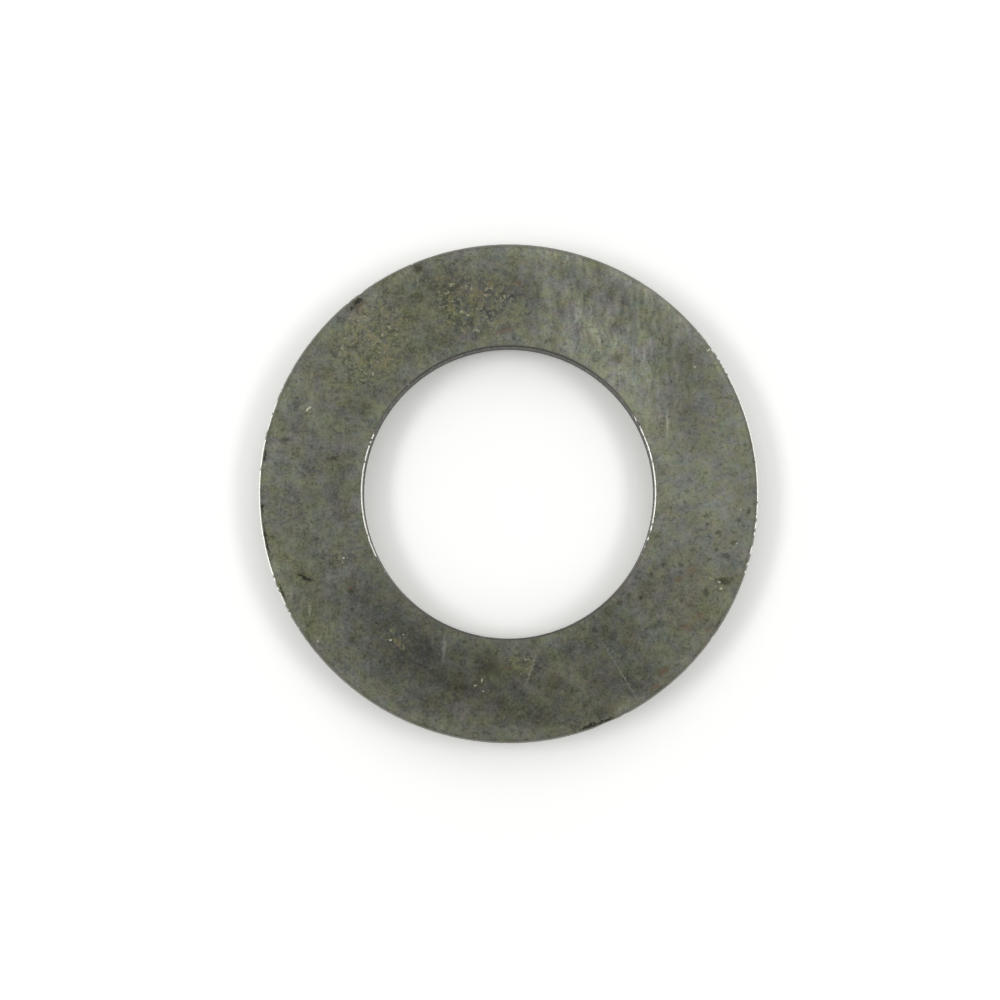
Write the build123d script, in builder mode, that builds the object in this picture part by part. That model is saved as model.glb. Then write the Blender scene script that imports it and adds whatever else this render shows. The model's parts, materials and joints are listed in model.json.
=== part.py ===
from build123d import *

import os
from math import radians, tan

# Shim washer: one flat ring, blanked from cold-rolled steel strip and tumbled.
#
# Frame: the bore's axis is Z and the washer lies on the plane Z = 0, centred on the origin,
# with the face that the punch entered up. All sizes are in millimetres.

# Overall sizes. The bore clears a shaft of 20 mm.
BORE_DIAMETER = 20.5
OUTSIDE_DIAMETER = 35.0
THICKNESS = 2.5

# Tumbling takes the burr off all four edges and leaves each a small round.
TUMBLED_RADIUS = 0.12

# Under the upper edges the punch shears a clean upright land, which guides a shaft or a housing.
LAND_HEIGHT = 0.9

# Under the land the strip breaks away at a small angle from upright, so that the bore opens
# and the rim narrows towards the lower face.
BREAK_ANGLE = 2.0

bore_radius = BORE_DIAMETER / 2
outside_radius = OUTSIDE_DIAMETER / 2
land_foot = THICKNESS - TUMBLED_RADIUS - LAND_HEIGHT
break_relief = land_foot * tan(radians(BREAK_ANGLE))

with BuildPart() as washer:
    with BuildSketch(Plane.XZ) as section:
        with BuildLine():
            Polyline(
                (bore_radius, THICKNESS),
                (bore_radius, land_foot),
                (bore_radius + break_relief, 0),
                (outside_radius - break_relief, 0),
                (outside_radius, land_foot),
                (outside_radius, THICKNESS),
                close=True,
            )
        make_face()
        upper_corners = section.vertices().group_by(Axis.Y)[-1]
        lower_corners = section.vertices().group_by(Axis.Y)[0]
        fillet(upper_corners + lower_corners, TUMBLED_RADIUS)
    revolve(axis=Axis.Z)

washer.part.label = "shim_washer"

os.makedirs("parts", exist_ok=True)
export_step(washer.part, "parts/shim_washer.step")
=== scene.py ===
import json
from math import cos, pi, radians, sin, tan

import bpy
import numpy as np
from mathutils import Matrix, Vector


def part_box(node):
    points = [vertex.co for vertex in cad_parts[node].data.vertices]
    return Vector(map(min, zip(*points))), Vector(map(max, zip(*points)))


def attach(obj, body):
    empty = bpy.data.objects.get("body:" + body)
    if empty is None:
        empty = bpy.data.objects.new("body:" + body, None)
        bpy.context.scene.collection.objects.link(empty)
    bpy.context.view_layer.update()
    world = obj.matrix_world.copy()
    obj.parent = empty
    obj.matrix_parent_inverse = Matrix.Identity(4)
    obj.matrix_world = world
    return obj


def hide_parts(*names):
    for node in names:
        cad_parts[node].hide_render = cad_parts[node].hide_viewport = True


# Shim washer: one flat steel ring, blanked from cold-rolled strip, tumbled and oiled. Its faces carry
# a dull, mottled oxide with old marks, and its edges are rubbed bright in places.

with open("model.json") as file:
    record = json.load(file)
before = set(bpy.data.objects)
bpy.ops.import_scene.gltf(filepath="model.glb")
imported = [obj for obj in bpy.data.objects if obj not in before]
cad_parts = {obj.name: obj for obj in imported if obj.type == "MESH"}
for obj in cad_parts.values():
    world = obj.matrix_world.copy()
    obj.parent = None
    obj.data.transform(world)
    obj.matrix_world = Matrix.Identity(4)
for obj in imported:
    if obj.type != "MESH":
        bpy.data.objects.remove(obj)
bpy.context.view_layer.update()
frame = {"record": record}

MM = 0.001

# The ring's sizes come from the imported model.
mounts = {mount["name"]: mount for mount in frame["record"]["mounts"]}
BORE_RADIUS = mounts["bore"]["dims"]["r_mm"] * MM
OUTSIDE_RADIUS = mounts["rim"]["dims"]["r_mm"] * MM
LAND_HEIGHT = mounts["bore"]["dims"]["length_mm"] * MM
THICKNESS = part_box("shim_washer")[1].z

# The blanked edge, as in the part's source.
TUMBLED_RADIUS = 0.12 * MM
BREAK_ANGLE = radians(2.0)
LAND_FOOT = THICKNESS - TUMBLED_RADIUS - LAND_HEIGHT


# ---------------------------------------------------------------------------------------------
# The ring
# ---------------------------------------------------------------------------------------------

# The section's zones, in the order of the ring's material slots, and how finely it is divided.
FACE, RIM_EDGE, BORE_EDGE, LAND, BREAK, UNDERSIDE = range(6)
AROUND = 1200
MARGIN_POINTS = 1
FACE_POINTS = 22
EDGE_POINTS = 10
LAND_POINTS = 4
BREAK_POINTS = 8
FOOT_POINTS = 5
LOWER_FACE_POINTS = 4

# The flat strip next to each edge that keeps the shading of the face and of the edge apart.
FACE_MARGIN = 0.03 * MM

# How deep the break's torn metal goes below its true surface.
TORN_DEPTH = 0.02 * MM
TORN_GRAIN = (1.5, 0.8)


def arc(centre_r, centre_z, radius, start, end, points):
    """Points on a circle about (centre_r, centre_z), at equal angles from start up to but without end."""
    angle = np.linspace(start, end, points, endpoint=False)
    return centre_r + radius * np.cos(angle), centre_z + radius * np.sin(angle)


def run(start, end, points):
    """Points on the straight line from start up to but without end, equally spaced."""
    along = np.linspace(0.0, 1.0, points, endpoint=False)
    return start[0] + along * (end[0] - start[0]), start[1] + along * (end[1] - start[1])


def ring_section():
    """The ring's section as one closed loop of points: for each named part, its zone and its points.

    It runs outwards over the upper face, down the rim, inwards under the lower face and up the
    bore. Below the land each wall leans into the metal by the break angle, and its lower corner is
    the arc that touches both that wall and the lower face.
    """
    upper = THICKNESS - TUMBLED_RADIUS
    arc_lean = (LAND_FOOT - TUMBLED_RADIUS) * tan(BREAK_ANGLE) + TUMBLED_RADIUS / cos(BREAK_ANGLE)
    rim_arc = OUTSIDE_RADIUS - arc_lean
    bore_arc = BORE_RADIUS + arc_lean
    touch_lean = TUMBLED_RADIUS * cos(BREAK_ANGLE)
    touch_height = TUMBLED_RADIUS * (1 - sin(BREAK_ANGLE))
    face_start = BORE_RADIUS + TUMBLED_RADIUS
    face_end = OUTSIDE_RADIUS - TUMBLED_RADIUS
    inner_margin = (face_start + FACE_MARGIN, THICKNESS)
    outer_margin = (face_end - FACE_MARGIN, THICKNESS)
    rim_land_foot = (OUTSIDE_RADIUS, LAND_FOOT)
    rim_break_foot = (rim_arc + touch_lean, touch_height)
    bore_land_foot = (BORE_RADIUS, LAND_FOOT)
    bore_break_foot = (bore_arc - touch_lean, touch_height)
    corner = TUMBLED_RADIUS
    return {
        "face start": (FACE, run((face_start, THICKNESS), inner_margin, MARGIN_POINTS)),
        "face": (FACE, run(inner_margin, outer_margin, FACE_POINTS)),
        "face end": (FACE, run(outer_margin, (face_end, THICKNESS), MARGIN_POINTS)),
        "rim edge": (RIM_EDGE, arc(face_end, upper, corner, pi / 2, 0.0, EDGE_POINTS)),
        "rim land": (LAND, run((OUTSIDE_RADIUS, upper), rim_land_foot, LAND_POINTS)),
        "rim break": (BREAK, run(rim_land_foot, rim_break_foot, BREAK_POINTS)),
        "rim foot": (RIM_EDGE, arc(rim_arc, corner, corner, -BREAK_ANGLE, -pi / 2, FOOT_POINTS)),
        "lower face": (UNDERSIDE, run((rim_arc, 0.0), (bore_arc, 0.0), LOWER_FACE_POINTS)),
        "bore foot": (BORE_EDGE, arc(bore_arc, corner, corner, -pi / 2, BREAK_ANGLE - pi, FOOT_POINTS)),
        "bore break": (BREAK, run(bore_break_foot, bore_land_foot, BREAK_POINTS)),
        "bore land": (LAND, run(bore_land_foot, (BORE_RADIUS, upper), LAND_POINTS)),
        "bore edge": (BORE_EDGE, arc(face_start, upper, corner, pi, pi / 2, EDGE_POINTS)),
    }


def wear_along(turn, clocks, lengths, depths, radius):
    """Depth of a row of nicks along an edge: the deepest, at each turn, of bumps depth (1 + cos) / 2.

    A nick's clock is its angle in degrees clockwise from the +Y axis, and its length is along the edge.
    """
    centre = pi / 2 - np.radians(clocks)
    away = (turn[:, None] - centre + pi) % (2 * pi) - pi
    share = np.clip(np.abs(away) * radius / (lengths / 2), 0.0, 1.0)
    return (depths * (1 + np.cos(pi * share)) / 2).max(axis=1)


def edge_nicks(turn, radius, count, typical, placed, seed):
    """Nicks that other parts knocked into an edge: many random ones, mostly shallow, and a few placed.

    The random ones are as deep on average as typical says, in millimetres.
    """
    random = np.random.default_rng(seed)
    clocks = np.concatenate([random.uniform(0, 360, count), [nick[0] for nick in placed]])
    lengths = np.concatenate([random.uniform(0.12, 0.45, count), [nick[1] for nick in placed]]) * MM
    depths = np.concatenate([random.exponential(typical, count), [nick[2] for nick in placed]]) * MM
    return wear_along(turn, clocks, lengths, depths, radius)


def torn_metal(rows, columns, grain, seed):
    """Random hollows from 0 to 1 over a grid that closes on itself along its rows.

    White noise is blurred by a bell curve of the given grain in cells, as a product in frequency.
    """
    noise = np.random.default_rng(seed).standard_normal((rows, columns))
    along = np.fft.fftfreq(rows)[:, None] * grain[0]
    across = np.fft.fftfreq(columns)[None, :] * grain[1]
    blurred = np.fft.ifft2(np.fft.fft2(noise) * np.exp(-2 * (pi**2) * (along**2 + across**2))).real
    return np.clip(0.5 + blurred / (4 * blurred.std()), 0.0, 1.0)


# Each placed nick: clock angle in degrees, length and depth in millimetres.
RIM_NICKS = [
    (157.0, 2.2, 0.06),
    (152.5, 0.8, 0.04),
    (323.5, 0.8, 0.07),
    (125.5, 0.5, 0.06),
    (319.7, 0.4, 0.04),
    (299.0, 0.35, 0.03),
    (64.0, 0.3, 0.03),
]
BORE_NICKS = [(190.0, 0.9, 0.05), (302.0, 0.35, 0.03), (57.0, 0.3, 0.03)]


def ring_mesh(name):
    """The worn section carried round Z: x = radius cos(turn), y = radius sin(turn), z = height.

    Wear moves a point straight into the metal, against the section's own normal, so that the ring
    never grows past its true size.
    """
    section = ring_section()
    radius, height = np.concatenate([points for zone, points in section.values()], axis=1)
    zone = np.concatenate([np.full(len(points[0]), zone) for zone, points in section.values()])
    ahead_r = np.roll(radius, -1) - np.roll(radius, 1)
    ahead_z = np.roll(height, -1) - np.roll(height, 1)
    step = np.hypot(ahead_r, ahead_z)
    outward_r = -ahead_z / step
    outward_z = ahead_r / step

    # A nick is deepest where the edge meets the land and fades out across both. The torn metal is
    # roughest in the middle of the break.
    turn = np.arange(AROUND) * (2 * pi / AROUND)
    rim = edge_nicks(turn, OUTSIDE_RADIUS, count=300, typical=0.005, placed=RIM_NICKS, seed=11)[:, None]
    bore = edge_nicks(turn, BORE_RADIUS, count=140, typical=0.003, placed=BORE_NICKS, seed=12)[:, None]
    edge = np.arange(EDGE_POINTS) / EDGE_POINTS
    land = np.arange(LAND_POINTS) / LAND_POINTS
    torn = np.sin(pi * np.arange(BREAK_POINTS) / BREAK_POINTS)
    depths = {
        "rim edge": rim * np.sin(pi / 2 * edge),
        "rim land": rim * (1 - land) ** 3,
        "rim break": TORN_DEPTH * torn_metal(AROUND, BREAK_POINTS, TORN_GRAIN, seed=21) * torn,
        "bore break": TORN_DEPTH * torn_metal(AROUND, BREAK_POINTS, TORN_GRAIN, seed=22) * torn,
        "bore land": bore * land**3,
        "bore edge": bore * np.cos(pi / 2 * edge),
    }
    untouched = {part: np.zeros((AROUND, len(points[0]))) for part, (zone, points) in section.items()}
    wear = np.concatenate([depths.get(part, untouched[part]) for part in section], axis=1)

    worn_radius = radius - wear * outward_r
    count = len(radius)
    points = np.empty((AROUND, count, 3))
    points[..., 0] = np.cos(turn)[:, None] * worn_radius
    points[..., 1] = np.sin(turn)[:, None] * worn_radius
    points[..., 2] = height - wear * outward_z
    here = np.arange(AROUND * count).reshape(AROUND, count)
    next_turn = np.roll(here, -1, axis=0)
    quads = np.stack([here, np.roll(here, -1, axis=1), np.roll(next_turn, -1, axis=1), next_turn], axis=-1)
    mesh = bpy.data.meshes.new(name)
    mesh.from_pydata(points.reshape(-1, 3), [], quads.reshape(-1, 4))
    mesh.polygons.foreach_set("material_index", np.tile(zone, AROUND).astype(np.int32))
    mesh.polygons.foreach_set("use_smooth", np.ones(len(mesh.polygons), dtype=bool))
    mesh.update()
    return mesh


# ---------------------------------------------------------------------------------------------
# Materials
# ---------------------------------------------------------------------------------------------


def linear(colour):
    """Turns an sRGB hex colour into the linear colour that Blender's sockets take."""
    channels = np.array([int(colour[i : i + 2], 16) for i in (1, 3, 5)]) / 255
    curved = np.where(channels <= 0.04045, channels / 12.92, ((channels + 0.055) / 1.055) ** 2.4)
    return (*curved, 1.0)


def new_material(name):
    """An empty node material and its tree."""
    material = bpy.data.materials.new(name)
    material.use_nodes = True
    material.node_tree.nodes.clear()
    return material, material.node_tree


def add(tree, kind, inputs, **settings):
    """Adds a node with its settings, and feeds each input a value or another node.

    An input is named, or numbered where its name isn't unique, and a node given as a value means its
    first output in use.
    """
    node = tree.nodes.new("ShaderNode" + kind)
    for name, value in settings.items():
        setattr(node, name, value)
    for key, value in inputs.items():
        if isinstance(key, int):
            socket = node.inputs[key]
        else:
            socket = next(found for found in node.inputs if found.name == key and found.enabled)
        if isinstance(value, bpy.types.Node):
            value = next(found for found in value.outputs if found.enabled)
        if isinstance(value, bpy.types.NodeSocket):
            tree.links.new(value, socket)
        else:
            socket.default_value = value
    return node


# Settings that many nodes share: a soft step, a mix of colours, and a times b plus c.
SMOOTH = {"interpolation_type": "SMOOTHSTEP"}
COLOUR = {"data_type": "RGBA"}
TIMES_PLUS = {"operation": "MULTIPLY_ADD"}


def per(millimetres):
    """The scale at which a pattern's cells measure so many millimetres."""
    return 1 / (millimetres * MM)


def away_from(tree, place, marks):
    """How far a point is from some oval marks: 0 at a mark's middle, 1 on its outline, 2 at most.

    Each mark is x, y, length, width in millimetres, and its turn in degrees anticlockwise from +X.
    The value is the distance to the nearest mark's middle, measured in that mark's own half sizes.
    """
    nearest = 2.0
    for x, y, length, width, turn in marks:
        centre = (x * MM, y * MM, 0.0)
        turned = add(
            tree,
            "VectorRotate",
            {"Vector": place, "Center": centre, "Angle": radians(-turn)},
            rotation_type="Z_AXIS",
        )
        to_local = (2 / (length * MM), 2 / (width * MM), 0.0)
        offset = (-2 * x / length, -2 * y / width, 0.0)
        local = add(tree, "VectorMath", {0: turned, 1: to_local, 2: offset}, **TIMES_PLUS)
        distance = add(tree, "VectorMath", {0: local}, operation="LENGTH")
        nearest = add(tree, "Math", {0: nearest, 1: distance}, operation="MINIMUM")
    return nearest


def oxide_film(tree, place):
    """Colour and grain of the oxide film: olive and purplish grey, even in contrast at every size.

    Light and dark grain runs from 1.8 mm down to 0.06 mm, weaker to one side. One tint swings between
    olive green and purplish grey and another between yellow and blue, in spots of 1.5 mm down to
    0.05 mm.
    """
    blots = add(tree, "TexNoise", {"Vector": place, "Scale": per(1.3), "Detail": 3.0, "Roughness": 0.7})
    thick = add(tree, "MapRange", {"Value": blots, "From Min": 0.36, "From Max": 0.64}, **SMOOTH)
    colour = add(tree, "Mix", {"Factor": thick, "A": FILM_THIN, "B": FILM_THICK}, **COLOUR)
    spots = add(tree, "TexNoise", {"Vector": place, "Scale": per(1.5), "Detail": 5.0, "Roughness": 0.95})
    spots = add(tree, "SeparateColor", {"Color": spots.outputs["Color"]})
    one = spots.outputs["Blue"]
    other = spots.outputs["Green"]
    green = add(tree, "VectorMath", {0: one, 1: GREEN_SWING, 2: GREEN_REST}, **TIMES_PLUS)
    blue = add(tree, "VectorMath", {0: other, 1: BLUE_SWING, 2: BLUE_REST}, **TIMES_PLUS)
    colour = add(tree, "VectorMath", {0: colour, 1: green}, operation="MULTIPLY")
    colour = add(tree, "VectorMath", {0: colour, 1: blue}, operation="MULTIPLY")
    grain = add(tree, "TexNoise", {"Vector": place, "Scale": per(1.8), "Detail": 4.3, "Roughness": 1.0})
    toward = add(tree, "VectorMath", {0: place, 1: SMOOTH_SIDE}, operation="DOT_PRODUCT")
    swing = add(
        tree,
        "MapRange",
        {"Value": toward, "From Min": 4 * MM, "From Max": 13 * MM, "To Min": GRAIN, "To Max": 0.6 * GRAIN},
        **SMOOTH,
    )
    level = add(tree, "Math", {0: grain, 1: 0.5}, operation="SUBTRACT")
    level = add(tree, "Math", {0: level, 1: swing, 2: 1.0}, **TIMES_PLUS)
    return add(tree, "VectorMath", {0: colour, "Scale": level}, operation="SCALE"), grain


def short_threads(tree, place, size, width, kept, seed):
    """Share of fine wandering threads, broken into short lengths.

    A thread follows the line where one noise, with cells of the given size in millimetres, crosses its
    middle value. It is as wide as width says, and it shows only where a second noise is above kept.
    """
    wander = add(
        tree,
        "TexNoise",
        {"Vector": place, "W": seed, "Scale": per(size), "Detail": 1.0},
        noise_dimensions="4D",
    )
    off_line = add(tree, "Math", {0: wander, 1: 0.5}, operation="SUBTRACT")
    off_line = add(tree, "Math", {0: off_line}, operation="ABSOLUTE")
    line = add(tree, "MapRange", {"Value": off_line, "From Min": width, "From Max": 0.0}, **SMOOTH)
    breaks = add(
        tree,
        "TexNoise",
        {"Vector": place, "W": seed + 5, "Scale": per(0.25), "Detail": 1.0},
        noise_dimensions="4D",
    )
    shown = add(tree, "MapRange", {"Value": breaks, "From Min": kept, "From Max": kept + 0.08}, **SMOOTH)
    return add(tree, "Math", {0: line, 1: shown}, operation="MULTIPLY")


def cold_rolled_face(name):
    """Cold-rolled steel under thin grey-green oxide and old oil: satin, soft-edged glints, mottled.

    The marks on it are where other parts rubbed, cut or stained it.
    """
    material, tree = new_material(name)
    place = add(tree, "TexCoord", {}).outputs["Object"]
    colour, grain = oxide_film(tree, place)

    # Broad patches, lighter and darker: where the oxide is thicker or thinner, with painted sheen toward
    # the top right and painted shade toward the bottom.
    for *oval, change in TONE_PATCHES:
        away = away_from(tree, place, [oval])
        share = add(tree, "MapRange", {"Value": away, "From Min": 1.4, "From Max": 0.0}, **SMOOTH)
        tone = (1 + change, 1 + change, 1 + change, 1.0)
        layer = {"Factor": share, "A": colour, "B": tone}
        colour = add(tree, "Mix", layer, blend_type="MULTIPLY", **COLOUR)

    # Places where the oil has dried yellower or greyer.
    for *oval, tint in TINT_PATCHES:
        away = away_from(tree, place, [oval])
        share = add(tree, "MapRange", {"Value": away, "From Min": 1.3, "From Max": 0.4}, **SMOOTH)
        layer = {"Factor": share, "A": colour, "B": tint}
        colour = add(tree, "Mix", layer, blend_type="MULTIPLY", **COLOUR)

    # A band about 1.5 mm wide along either edge, rubbed lighter, and a dark line along the rim, just inside
    # its edge.
    flat = add(tree, "VectorMath", {0: place, 1: (1.0, 1.0, 0.0)}, operation="MULTIPLY")
    radius = add(tree, "VectorMath", {0: flat}, operation="LENGTH")
    for start, end, change in EDGE_BANDS:
        band = {"Value": radius, "From Min": start * MM, "From Max": end * MM}
        share = add(tree, "MapRange", band, **SMOOTH)
        tone = (1 + change, 1 + change, 1 + change, 1.0)
        layer = {"Factor": share, "A": colour, "B": tone}
        colour = add(tree, "Mix", layer, blend_type="MULTIPLY", **COLOUR)

    # A place moved a little to and fro, which makes outlines ragged.
    wobble = add(tree, "TexNoise", {"Vector": place, "Scale": per(0.25), "Detail": 2.0, "Roughness": 0.6})
    wobble = add(tree, "VectorMath", {0: wobble.outputs["Color"], 1: (0.5, 0.5, 0.5)}, operation="SUBTRACT")
    ragged = add(tree, "VectorMath", {0: wobble, 1: (0.5 * MM, 0.5 * MM, 0.0), 2: place}, **TIMES_PLUS)

    # Upright scuff lines from sliding on a bench, 0.1 to 0.4 mm apart, strongest in one place. They
    # bend a little to either side.
    bend = add(tree, "TexNoise", {"Vector": place, "Scale": per(2.5), "Detail": 1.0})
    sideways = (0.9 * MM, 0.0, 0.0)
    bent = add(tree, "VectorMath", {0: bend.outputs["Color"], 1: sideways, 2: place}, **TIMES_PLUS)
    drawn = add(
        tree,
        "Mapping",
        {"Vector": bent, "Rotation": (0.0, 0.0, radians(38.0)), "Scale": (1.0, 0.28, 1.0)},
        vector_type="POINT",
    )
    lines = add(tree, "TexNoise", {"Vector": drawn, "Scale": per(0.42), "Detail": 2.0, "Roughness": 0.6})
    scuffed = away_from(tree, place, SCUFFED)
    depth = add(
        tree,
        "MapRange",
        {"Value": scuffed, "From Min": 1.3, "From Max": 0.2, "To Min": 0.2, "To Max": 1.75},
        **SMOOTH,
    )
    lines = add(tree, "Math", {0: lines, 1: 0.5}, operation="SUBTRACT")
    scuff_level = add(tree, "Math", {0: lines, 1: depth, 2: 1.0}, **TIMES_PLUS)
    colour = add(tree, "VectorMath", {0: colour, "Scale": scuff_level}, operation="SCALE")

    # Hair-fine dark and brassy threads in the film, the brassy ones mostly in the flecked places.
    dark = short_threads(tree, place, size=0.55, width=0.05, kept=0.48, seed=1.0)
    dark = add(tree, "Math", {0: dark, 1: 0.42}, operation="MULTIPLY")
    colour = add(tree, "Mix", {"Factor": dark, "A": colour, "B": linear("#2c2b22")}, **COLOUR)
    brassy = short_threads(tree, place, size=0.42, width=0.055, kept=0.5, seed=2.0)
    flecked = away_from(tree, place, FLECKED)
    flecked = add(
        tree,
        "MapRange",
        {"Value": flecked, "From Min": 1.6, "From Max": 0.5, "To Min": 0.12, "To Max": 0.7},
        **SMOOTH,
    )
    brassy = add(tree, "Math", {0: brassy, 1: flecked}, operation="MULTIPLY")
    colour = add(tree, "Mix", {"Factor": brassy, "A": colour, "B": linear("#a9a78c")}, **COLOUR)

    # Ochre and dark brown specks in the same places, under half a millimetre across.
    specks = add(tree, "TexNoise", {"Vector": ragged, "Scale": per(0.45), "Detail": 2.0, "Roughness": 0.7})
    for start, full, tint, most in SPECKS:
        speck = {"Value": specks, "From Min": start, "From Max": full, "To Max": most}
        share = add(tree, "MapRange", speck, **SMOOTH)
        share = add(tree, "Math", {0: share, 1: flecked}, operation="MULTIPLY")
        colour = add(tree, "Mix", {"Factor": share, "A": colour, "B": linear(tint)}, **COLOUR)

    # Stains, pits and scratches, with ragged outlines.
    for marks, tint, strength, soft in MARKS:
        away = away_from(tree, ragged, marks)
        share = add(
            tree,
            "MapRange",
            {"Value": away, "From Min": 1.0 + soft, "From Max": 1.0 - soft, "To Max": strength},
            **SMOOTH,
        )
        colour = add(tree, "Mix", {"Factor": share, "A": colour, "B": linear(tint)}, **COLOUR)

    # The light grain is a little glossier than the dark.
    shine = add(
        tree,
        "MapRange",
        {"Value": grain, "From Min": 0.35, "From Max": 0.65, "To Min": 0.46, "To Max": 0.36},
    )
    relief = add(tree, "Math", {0: lines, 1: 0.5, 2: grain}, **TIMES_PLUS)
    bump = add(tree, "Bump", {"Height": relief, "Strength": 0.35, "Distance": 0.02 * MM})
    shader = add(
        tree, "BsdfPrincipled", {"Base Color": colour, "Metallic": 0.75, "Roughness": shine, "Normal": bump}
    )
    add(tree, "OutputMaterial", {"Surface": shader})
    return material


def burnished_edge_painted_glints(name, upper, lower, sides, brow):
    """Steel edge that tumbling burnished, painted bright only about the two sides that face the side lamps,
    where their glints fall, and dull elsewhere.

    The dull part goes from one colour at the face to another at the wall. These colours paint the rim's
    reflection of the bright room and the shade inside the bore. Near the bright sides the dull part is
    painted paler, as a sheen. Each side is the clock angle about which the edge is bright, in beads where
    the brightness ends. Down to the brow, in millimetres below the face, the brightness fades in, so that
    the painted glint sits where the lamps' reflection falls, and the lower edge stays dull.
    """
    material, tree = new_material(name)
    place = add(tree, "TexCoord", {}).outputs["Object"]
    height = add(tree, "SeparateXYZ", {"Vector": place}).outputs["Z"]
    wall_top = THICKNESS - TUMBLED_RADIUS
    flat = add(tree, "VectorMath", {0: place, 1: (1.0, 1.0, 0.0)}, operation="MULTIPLY")
    flat = add(tree, "VectorMath", {0: flat}, operation="NORMALIZE")
    # The sides face the side lamps: only about them is the edge painted bright steel, so that it glints
    # there and nowhere else.
    side = -1.0
    for clock in sides:
        toward = (sin(radians(clock)), cos(radians(clock)), 0.0)
        along = add(tree, "VectorMath", {0: flat, 1: toward}, operation="DOT_PRODUCT")
        side = add(tree, "Math", {0: side, 1: along}, operation="MAXIMUM")
    near_face = add(tree, "MapRange", {"Value": height, "From Min": wall_top, "From Max": THICKNESS})
    near_side = add(tree, "MapRange", {"Value": side, "From Min": 0.5, "From Max": 0.95}, **SMOOTH)
    # Near the bright sides the dull colour is painted paler, as a sheen.
    dull = add(tree, "Mix", {"Factor": near_side, "A": linear(lower), "B": PAINTED_SHEEN_NEAR_GLINTS}, **COLOUR)
    dull = add(tree, "Mix", {"Factor": near_face, "A": dull, "B": linear(upper)}, **COLOUR)
    lift = add(tree, "MapRange", {"Value": side, "From Min": 0.83, "From Max": 1.0, "To Max": 0.4})
    full = THICKNESS - brow * MM
    below = add(tree, "MapRange", {"Value": height, "From Min": THICKNESS, "From Max": full}, **SMOOTH)
    beads = add(tree, "TexNoise", {"Vector": place, "Scale": per(0.3), "Detail": 2.0})
    beads = add(tree, "Math", {0: beads, 1: lift}, operation="ADD")
    beads = add(tree, "MapRange", {"Value": beads, "From Min": 0.68, "From Max": 0.78}, **SMOOTH)
    rubbed_glint_share = add(tree, "Math", {0: beads, 1: below}, operation="MULTIPLY")
    upper_half = add(tree, "MapRange", {"Value": height, "From Max": THICKNESS / 2})
    rubbed_glint_share = add(tree, "Math", {0: rubbed_glint_share, 1: upper_half}, operation="MULTIPLY")
    colour = add(tree, "Mix", {"Factor": rubbed_glint_share, "A": dull, "B": BRIGHT_STEEL}, **COLOUR)
    shine = add(tree, "MapRange", {"Value": rubbed_glint_share, "To Min": 0.7, "To Max": 0.2}, **SMOOTH)
    bare = add(tree, "MapRange", {"Value": rubbed_glint_share}, **SMOOTH)
    shader = add(
        tree,
        "BsdfPrincipled",
        {"Base Color": colour, "Metallic": bare, "Roughness": shine, "Specular IOR Level": 0.1},
    )
    add(tree, "OutputMaterial", {"Surface": shader})
    return material


def sheared_land(name):
    """Steel sheared by the punch: upright drag lines, satin along them, painted dark with the shade that
    falls inside the bore.
    """
    material, tree = new_material(name)
    place = add(tree, "TexCoord", {}).outputs["Object"]
    drawn = add(tree, "Mapping", {"Vector": place, "Scale": (1.0, 1.0, 0.05)}, vector_type="POINT")
    lines = add(tree, "TexNoise", {"Vector": drawn, "Scale": per(0.15), "Detail": 3.0, "Roughness": 0.8})
    share = add(tree, "MapRange", {"Value": lines, "From Min": 0.3, "From Max": 0.7}, **SMOOTH)
    # Both colours are dark with painted shade.
    colour = add(tree, "Mix", {"Factor": share, "A": linear("#383734"), "B": linear("#52514d")}, **COLOUR)
    shine = add(tree, "MapRange", {"Value": share, "To Min": 0.55, "To Max": 0.4}, **SMOOTH)
    bump = add(tree, "Bump", {"Height": lines, "Strength": 0.5, "Distance": 0.01 * MM})
    shader = add(
        tree, "BsdfPrincipled", {"Base Color": colour, "Metallic": 0.8, "Roughness": shine, "Normal": bump}
    )
    add(tree, "OutputMaterial", {"Surface": shader})
    return material


def torn_break(name):
    """Steel torn apart under the land: matt, coarse and dark."""
    material, tree = new_material(name)
    place = add(tree, "TexCoord", {}).outputs["Object"]
    coarse = add(tree, "TexNoise", {"Vector": place, "Scale": per(0.12), "Detail": 4.0, "Roughness": 0.7})
    share = add(tree, "MapRange", {"Value": coarse, "From Min": 0.3, "From Max": 0.7}, **SMOOTH)
    colour = add(tree, "Mix", {"Factor": share, "A": linear("#57564f"), "B": linear("#78766d")}, **COLOUR)
    bump = add(tree, "Bump", {"Height": coarse, "Strength": 0.8, "Distance": 0.02 * MM})
    shader = add(
        tree, "BsdfPrincipled", {"Base Color": colour, "Metallic": 0.5, "Roughness": 0.75, "Normal": bump}
    )
    add(tree, "OutputMaterial", {"Surface": shader})
    return material


def cold_rolled_underside(name):
    """The same oxide as on the upper face, without its marks."""
    material, tree = new_material(name)
    place = add(tree, "TexCoord", {}).outputs["Object"]
    colour, _ = oxide_film(tree, place)
    shader = add(tree, "BsdfPrincipled", {"Base Color": colour, "Metallic": 0.75, "Roughness": 0.42})
    add(tree, "OutputMaterial", {"Surface": shader})
    return material


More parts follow.
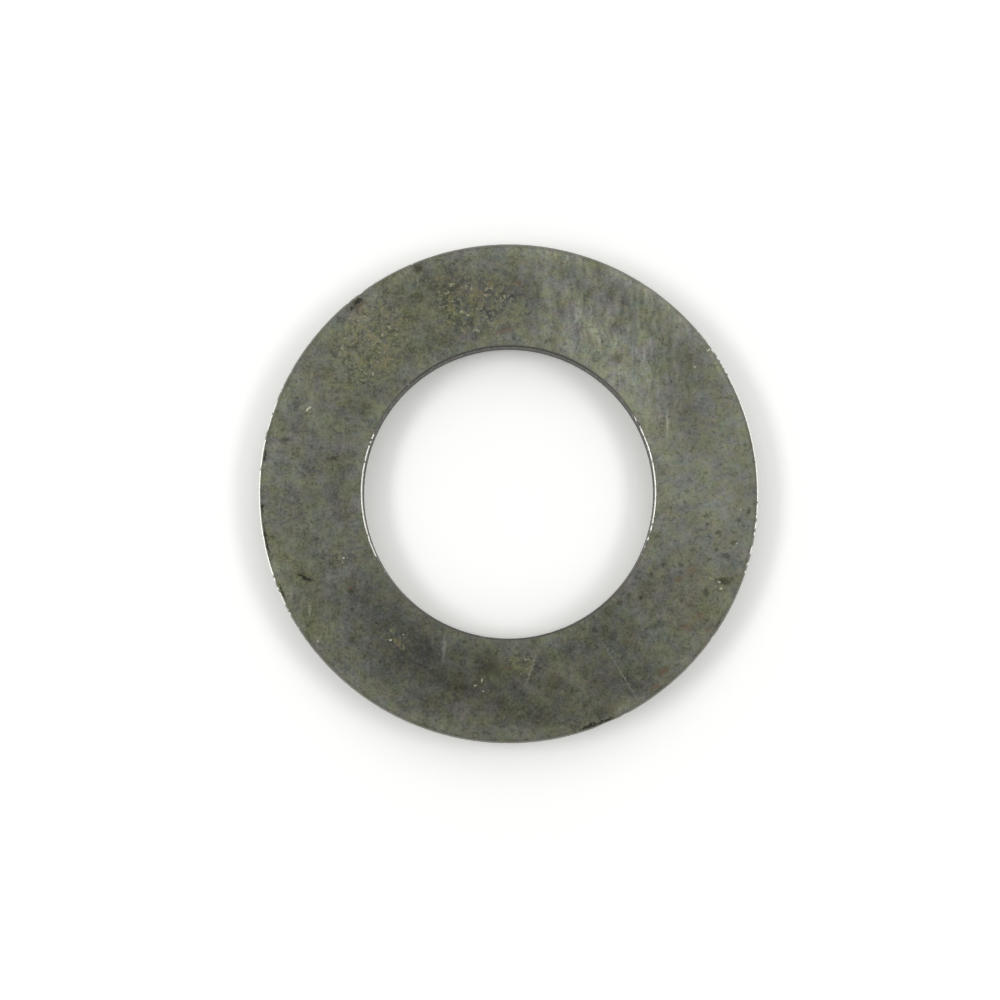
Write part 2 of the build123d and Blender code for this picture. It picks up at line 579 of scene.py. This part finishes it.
def white_paper(name):
    """Bleached white paper: matt, and bright enough to the eye to read as white outside the soft shadow.

    From 0.1 m out, away from the lamps, it grows brighter to the eye, so that it stays white to the
    horizon. The light it throws back on the washer is that of plain paper throughout.
    """
    material, tree = new_material(name)
    path = add(tree, "LightPath", {})
    eye = path.outputs["Is Camera Ray"]
    gloss = path.outputs["Is Glossy Ray"]
    through = path.outputs["Is Transmission Ray"]
    seen = add(tree, "Math", {0: eye, 1: gloss}, operation="MAXIMUM")
    seen = add(tree, "Math", {0: seen, 1: through}, operation="MAXIMUM")
    place = add(tree, "TexCoord", {}).outputs["Object"]
    away = add(tree, "VectorMath", {0: place}, operation="LENGTH")
    far = add(tree, "MapRange", {"Value": away, "From Min": 0.1, "From Max": 0.45}, **SMOOTH)
    white = add(tree, "Mix", {"Factor": far, "A": PAPER_SEEN, "B": PAPER_FAR}, **COLOUR)
    colour = add(tree, "Mix", {"Factor": seen, "A": PAPER_LIT, "B": white}, **COLOUR)
    shader = add(tree, "BsdfDiffuse", {"Color": colour})
    add(tree, "OutputMaterial", {"Surface": shader})
    return material


# The film's two tones, and how far its tints and its grain swing about them.
FILM_THIN = linear("#747670")
FILM_THICK = linear("#757763")
GREEN_SWING = (0.46, -0.28, 0.27)
GREEN_REST = (0.77, 1.14, 0.865)
BLUE_SWING = (0.0, 0.0, 0.42)
BLUE_REST = (1.0, 1.0, 0.795)
GRAIN = 3.0
# The direction in which the film was rubbed smoother, at 62 degrees clockwise from +Y.
SMOOTH_SIDE = (sin(radians(62)), cos(radians(62)), 0.0)

# The edges' painted sheen near their bright sides, and the steel that tumbling laid bare.
PAINTED_SHEEN_NEAR_GLINTS = linear("#98958c")
BRIGHT_STEEL = linear("#f2f1ea")

# Each patch of tone: x, y, length and width in millimetres, turn in degrees, and change of level.
TONE_PATCHES = [
    # Lighter from the top round to the right: a rubbed place, with painted sheen from the light on that
    # side.
    (7.5, 9.5, 11.0, 7.5, -45, 0.45),
    (10.6, 4.0, 9.0, 4.0, -80, 0.3),
    (5.0, 12.5, 5.0, 5.0, 0, 0.15),
    (11.0, 13.0, 10.0, 3.5, -45, 0.2),
    (3.2, 16.8, 6.0, 2.0, -10, 0.3),
    (7.2, 15.4, 3.0, 1.5, -20, 0.15),
    (15.5, 4.0, 6.0, 12.0, 0, 0.22),
    (13.0, -0.5, 6.0, 7.0, 0, 0.25),
    (15.0, -3.2, 3.5, 5.0, 0, 0.2),
    # Darker spots in it.
    (12.8, 7.0, 3.0, 7.0, 15, -0.15),
    (11.3, 6.5, 2.0, 4.0, 15, -0.15),
    (8.5, 13.2, 3.0, 2.0, -30, -0.15),
    (12.2, 9.5, 3.0, 2.0, -60, -0.1),
    # Thick film at the top, with a lighter gap beside the bore.
    (-3.0, 14.5, 10.0, 4.0, 5, -0.3),
    (-3.2, 11.3, 6.5, 3.5, 20, -0.25),
    (-1.8, 14.0, 3.0, 1.8, -20, -0.2),
    (-4.8, 14.5, 3.0, 1.8, 0, -0.15),
    (1.5, 11.0, 4.0, 1.5, 0, 0.12),
    (1.4, 13.5, 2.5, 6.0, 0, -0.12),
    # The left side.
    (-8.0, 12.3, 5.0, 3.0, 40, -0.18),
    (-10.6, 10.5, 2.5, 2.0, 0, 0.12),
    (-10.0, 7.0, 9.0, 5.0, 55, -0.22),
    (-13.2, 7.8, 4.0, 3.0, 50, -0.1),
    (-12.5, 0.0, 6.0, 7.0, 15, -0.2),
    (-16.0, -2.0, 3.5, 4.0, 0, -0.1),
    # Darkest at the lower left: darker film, with painted shade.
    (-10.5, -4.5, 4.0, 5.0, 25, -0.2),
    (-12.8, -6.3, 7.0, 2.5, -55, -0.22),
    (-13.5, -8.0, 4.0, 3.0, -50, -0.12),
    (-8.8, -7.0, 3.0, 2.0, 0, -0.15),
    (-7.3, -10.3, 12.0, 5.5, -58, -0.5),
    (-10.0, -11.0, 6.0, 4.0, -50, -0.2),
    (-9.0, -14.2, 3.0, 2.0, 35, -0.15),
    # The bottom.
    (-3.5, -11.0, 5.0, 3.0, -30, -0.2),
    (-5.5, -12.3, 6.0, 2.5, -20, -0.3),
    (-2.5, -14.8, 6.0, 3.0, -10, -0.25),
    (-1.2, -13.2, 7.0, 3.5, 0, -0.4),
    (0.5, -11.0, 10.0, 2.5, 0, -0.15),
    (2.5, -15.2, 7.0, 3.5, 0, -0.35),
    (6.2, -13.6, 3.5, 2.5, 0, -0.3),
    # The lower right.
    (7.0, -9.5, 10.0, 5.0, 45, -0.28),
    (8.8, -12.6, 5.0, 4.0, 30, -0.35),
    (10.8, -6.6, 3.0, 2.5, 0, -0.12),
    (13.0, -9.2, 4.0, 3.0, 45, -0.12),
    # The upright border of the scuffed place, painted light over the whole top, and painted shade over the
    # whole bottom.
    (2.9, 14.0, 6.5, 1.3, 90, 0.22),
    (2.0, 16.5, 24.0, 5.0, 0, 0.08),
    (0.0, -14.0, 30.0, 14.0, 0, -0.13),
    # Painted highlight along the rim at the upper right, and a lighter place by the left rim.
    (8.6, 14.9, 5.0, 0.5, -30, 0.35),
    (12.2, 12.2, 5.0, 0.5, -45, 0.35),
    (14.9, 8.6, 4.0, 0.5, -60, 0.3),
    (-15.7, -4.5, 2.8, 2.0, 90, 0.12),
]

# Each patch of tint: x, y, length and width in millimetres, turn in degrees, and the tint that
# multiplies the colour.
TINT_PATCHES = [
    (-8.2, 11.0, 13.0, 7.0, 42, (1.0, 1.0, 0.88, 1.0)),
    (-8.6, -9.6, 8.0, 4.5, -45, (1.0, 1.0, 1.06, 1.0)),
    (13.0, -8.0, 6.0, 4.0, 50, (1.04, 1.0, 0.9, 1.0)),
    (-15.0, -6.5, 11.0, 4.0, 113, (1.0, 1.0, 0.88, 1.0)),
    (1.0, -14.0, 14.0, 6.0, 0, (1.02, 1.0, 0.94, 1.0)),
]

# Each band along an edge: the radii in millimetres where it starts and is full, and its change of level.
EDGE_BANDS = [(12.0, 10.6, 0.12), (16.2, 17.1, 0.12), (17.16, 17.3, -0.15)]

# Where the scuff lines and the flecks are strongest: ovals as in away_from.
SCUFFED = [(7.5, 11.5, 16.0, 10.0, -48)]
FLECKED = [
    (-9.8, 10.4, 6.5, 3.8, 60),
    (-2.4, 13.3, 5.5, 4.4, 0),
    (-7.9, -10.2, 1.8, 1.0, -30),
    (-11.4, -4.7, 1.6, 1.2, 0),
    (14.6, -6.2, 1.6, 1.4, 0),
    (0.9, -11.9, 2.2, 1.0, 0),
]

# The specks: the noise levels where they start and are full, their colour, and its greatest share.
SPECKS = [(0.52, 0.62, "#888053", 0.6), (0.46, 0.36, "#47453a", 0.5)]

# The marks that stand out, as ovals again.
BROWN_HALOS = [
    (-14.3, -5.8, 1.0, 0.45, -35),
    (14.97, -6.25, 1.1, 0.6, 0),
    (-11.0, -6.9, 0.6, 0.5, 0),
    (-1.2, -12.2, 2.6, 1.2, 10),
    (6.6, -15.2, 2.2, 0.8, 22),
    (3.2, -13.2, 1.6, 1.0, 0),
    (7.1, -8.2, 1.2, 0.6, 40),
    (-10.75, 13.15, 1.4, 0.6, 42),
    (-6.4, 15.8, 0.8, 0.8, 0),
]
RUST = [
    (12.8, -5.42, 0.8, 0.4, 0),
    (13.29, -8.63, 0.6, 0.4, 30),
    (12.45, -9.4, 0.8, 0.5, 0),
    (13.99, -9.61, 0.7, 0.35, 40),
    (10.78, -12.47, 0.9, 0.5, 30),
    (10.22, -13.59, 0.8, 0.4, 20),
    (11.89, -6.04, 0.6, 0.4, 0),
    (-0.06, -12.26, 0.4, 0.3, 0),
    (-0.13, 11.36, 1.3, 0.3, 12),
    (0.71, 14.78, 0.4, 0.4, 0),
    (-10.42, 13.18, 0.5, 0.22, 40),
    (-11.05, -6.7, 0.35, 0.25, 0),
]
PITS = [
    (-6.38, 15.76, 0.56, 0.5, 0),
    (-15.64, 3.67, 0.6, 0.45, 30),
    (-12.22, 2.41, 0.5, 0.3, 0),
    (-11.0, -6.95, 0.3, 0.24, 0),
    (7.76, -7.76, 0.42, 0.36, 0),
    (8.4, -7.23, 0.3, 0.24, 0),
    (13.78, -7.02, 0.45, 0.5, 0),
    (10.85, -5.07, 0.4, 0.4, 0),
    (9.94, -5.77, 0.3, 0.3, 0),
    (14.55, -3.95, 0.3, 0.3, 0),
    (15.18, -4.44, 0.5, 0.35, 0),
    (15.72, -3.5, 0.45, 0.3, 0),
    (15.0, -6.2, 0.95, 0.42, -12),
    (14.69, -2.83, 0.42, 0.32, 0),
    (13.85, -1.64, 0.34, 0.3, 0),
    (13.9, -2.3, 0.26, 0.26, 0),
    (14.05, -4.7, 0.4, 0.26, 0),
    (12.03, -5.07, 0.4, 0.3, 0),
    (16.79, -1.29, 0.3, 0.5, 0),
    (16.09, -1.99, 0.4, 0.3, 0),
    (9.24, -7.44, 0.3, 0.24, 0),
    (6.09, -9.68, 0.36, 0.3, 0),
    (-10.85, 13.2, 0.36, 0.2, 45),
]
SCRATCHES = [
    (7.8, -12.5, 5.0, 0.07, -59),
    (11.13, 4.7, 2.4, 0.14, 90),
    (-4.5, -10.9, 2.0, 0.13, 86),
    (1.62, -12.2, 2.7, 0.13, 72),
    (-6.4, 15.0, 0.9, 0.13, 90),
    (-13.9, -8.3, 0.9, 0.13, 85),
]
GOUGES = [
    (-14.2, -5.97, 1.1, 0.24, -26),
    (-10.57, 13.48, 0.66, 0.3, 40),
    (-11.02, 12.93, 0.34, 0.2, 35),
    (5.62, -16.31, 1.3, 0.3, 19),
    (6.6, -15.98, 1.4, 0.16, 22),
    (-16.94, -3.32, 2.1, 0.14, 101),
    (-17.22, -1.14, 0.7, 0.14, 94),
    (-17.07, 2.55, 0.9, 0.14, 82),
    (-15.79, -6.97, 1.3, 0.14, 114),
]
GOLD_TICKS = [
    (-8.86, 11.08, 0.24, 0.14, 90),
    (-2.64, 14.36, 0.3, 0.12, 80),
    (-2.99, 14.43, 0.26, 0.1, 100),
    (-4.32, 14.01, 0.3, 0.12, 30),
    (-0.41, 13.52, 0.3, 0.12, 50),
    (-0.27, 13.75, 0.26, 0.1, 130),
    (-2.85, 12.47, 0.24, 0.14, 0),
    (-2.22, 11.43, 0.3, 0.12, 160),
    (-11.66, 10.17, 0.26, 0.12, 80),
    (-11.45, 10.8, 0.16, 0.12, 0),
    (-11.1, 12.19, 0.14, 0.12, 0),
    (-10.54, 12.05, 0.12, 0.12, 0),
    (-8.4, 11.6, 0.3, 0.12, 150),
    (-4.0, 14.6, 0.26, 0.12, 20),
    (-9.5, 8.35, 0.26, 0.12, 100),
    (-10.1, 12.4, 0.3, 0.1, 140),
    (-3.3, 12.7, 0.2, 0.12, 60),
    (11.15, 4.95, 0.8, 0.12, 90),
]
BRIGHT_FLECKS = [
    (-14.05, 5.82, 0.42, 0.14, 48),
    (14.69, -6.25, 0.2, 0.14, 90),
    (14.83, -6.74, 0.3, 0.14, 40),
    (16.23, -1.22, 0.12, 0.12, 0),
    (16.02, -3.6, 0.14, 0.12, 0),
    (-11.52, -4.58, 0.2, 0.12, 0),
    (-8.23, -10.3, 0.14, 0.14, 0),
    (-7.39, -9.96, 0.16, 0.12, 60),
    (-13.28, -10.4, 0.12, 0.12, 0),
    (-1.87, -13.1, 0.2, 0.08, 80),
    (-1.75, -13.9, 0.16, 0.1, 0),
    (-2.3, -13.5, 0.1, 0.1, 0),
    (14.06, 10.03, 0.14, 0.14, 0),
    (13.08, 8.84, 0.12, 0.12, 0),
    (16.79, 6.25, 0.16, 0.14, 0),
]
# Their layers: the ovals, the colour, its greatest share, and how soft the outline is.
MARKS = [
    (BROWN_HALOS, "#45412f", 0.42, 0.7),
    (RUST, "#725a45", 0.5, 0.6),
    (PITS, "#36352a", 0.6, 0.6),
    (GOUGES, "#2a2620", 0.85, 0.4),
    (SCRATCHES, "#a7a69a", 0.4, 0.6),
    (GOLD_TICKS, "#c6c2a2", 0.55, 0.5),
    (BRIGHT_FLECKS, "#dedac6", 0.85, 0.5),
]

# The paper as the washer is lit by it, as the eye sees it near the lamps, and far from them.
PAPER_LIT = (0.8, 0.8, 0.8, 1.0)
PAPER_SEEN = (1.18, 1.19, 1.16, 1.0)
PAPER_FAR = (2.65, 2.65, 2.65, 1.0)

washer_mesh = ring_mesh("washer_ring")
washer = bpy.data.objects.new("washer_ring", washer_mesh)
bpy.context.scene.collection.objects.link(washer)
# In the order of the section's zones.
for material in (
    cold_rolled_face("oxidised_cold_rolled_steel"),
    # The rim edge's colour at the wall is paler than at the face: a painted reflection of the bright room.
    burnished_edge_painted_glints(
        "burnished_rim_edge_painted_glints", upper="#84827a", lower="#a9a79f", sides=(79, 268), brow=0.009
    ),
    # The bore edge's colour at the wall is nearly black: painted shade inside the bore.
    burnished_edge_painted_glints(
        "burnished_bore_edge_painted_glints", upper="#625f58", lower="#22211e", sides=(84, 268), brow=0.016
    ),
    sheared_land("sheared_steel_land_painted_shade"),
    torn_break("fractured_steel_break"),
    cold_rolled_underside("oxidised_steel_underside"),
):
    washer_mesh.materials.append(material)
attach(washer, "root")
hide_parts("shim_washer")


# ---------------------------------------------------------------------------------------------
# Floor, light and camera
# ---------------------------------------------------------------------------------------------

FLOOR_HALF = 2.0
floor_mesh = bpy.data.meshes.new("paper_floor")
corners = [(-1, -1), (1, -1), (1, 1), (-1, 1)]
corners = [(FLOOR_HALF * x, FLOOR_HALF * y, 0.0) for x, y in corners]
floor_mesh.from_pydata(corners, [], [(0, 1, 2, 3)])
floor = bpy.data.objects.new("paper_floor", floor_mesh)
bpy.context.scene.collection.objects.link(floor)
paper = white_paper("bleached_paper")
floor_mesh.materials.append(paper)

# A round wall of the same paper far away keeps the background white above the horizon.
WALL_RADIUS = 2.0
WALL_HEIGHT = 0.7
bpy.ops.mesh.primitive_cylinder_add(
    vertices=96,
    radius=WALL_RADIUS,
    depth=WALL_HEIGHT,
    end_fill_type="NOTHING",
    location=(0, 0, WALL_HEIGHT / 2),
)
wall = bpy.context.object
wall.name = "paper_wall"
wall.data.materials.append(paper)

# Each lamp is a soft box that looks at the washer: its name, clock angle from +Y and elevation in
# degrees, distance, width and height in metres, and power in watts.
LAMPS = [
    ("left_tube", 270, 49, 0.5, 0.28, 0.12, 0.53),
    ("right_tube", 90, 49, 0.5, 0.28, 0.12, 0.42),
    ("left_low_tube", 268, 12, 0.5, 0.30, 0.08, 0.125),
    ("right_low_tube", 79, 12, 0.5, 0.30, 0.08, 0.035),
    ("back_low_strip", 0, 12, 0.6, 0.80, 0.15, 0.42),
    ("back_softbox", 0, 38, 0.5, 0.40, 0.25, 0.22),
    ("back_right_softbox", 50, 60, 0.5, 0.30, 0.30, 0.135),
    ("back_left_softbox", 310, 60, 0.5, 0.30, 0.30, 0.075),
]
# How bright the even light from all sides is.
ROOM_LEVEL = 0.49


def add_lamp(name, clock, elevation, distance, width, height, power):
    """A soft box at a clock angle and elevation, turned to face the origin."""
    data = bpy.data.lights.new(name, "AREA")
    data.shape = "RECTANGLE"
    data.size = width
    data.size_y = height
    data.energy = power
    lamp = bpy.data.objects.new(name, data)
    flat = cos(radians(elevation))
    toward = Vector((sin(radians(clock)) * flat, cos(radians(clock)) * flat, sin(radians(elevation))))
    place = distance * toward
    lamp.location = place
    lamp.rotation_euler = (-place).to_track_quat("-Z", "Y").to_euler()
    bpy.context.scene.collection.objects.link(lamp)


for lamp in LAMPS:
    add_lamp(*lamp)

room = bpy.data.worlds.new("pale_room")
room.use_nodes = True
background = room.node_tree.nodes["Background"]
background.inputs["Color"].default_value = (1.0, 1.0, 1.0, 1.0)
background.inputs["Strength"].default_value = ROOM_LEVEL
bpy.context.scene.world = room

# The camera looks almost straight down from close by.
CAMERA_DISTANCE = 130 * MM
CAMERA_TILT = radians(2.5)
WASHER_SHARE = 0.5  # of the picture's width, across the outside of the rim
SENSOR = 36.0
# The washer stands a little off the picture's middle: shares of its width, to the right and up.
SHIFT_RIGHT = 0.00855
SHIFT_UP = 0.0062
camera_data = bpy.data.cameras.new("camera")
camera_data.sensor_width = SENSOR
camera_data.lens = SENSOR * WASHER_SHARE * (CAMERA_DISTANCE - THICKNESS) / (2 * OUTSIDE_RADIUS)
camera_data.shift_x = -SHIFT_RIGHT
camera_data.shift_y = -SHIFT_UP
camera = bpy.data.objects.new("camera", camera_data)
camera.location = (0, -CAMERA_DISTANCE * sin(CAMERA_TILT), CAMERA_DISTANCE * cos(CAMERA_TILT))
camera.rotation_euler = (CAMERA_TILT, 0, 0)
bpy.context.scene.collection.objects.link(camera)
bpy.context.scene.camera = camera
bpy.context.scene.view_settings.view_transform = "Standard"
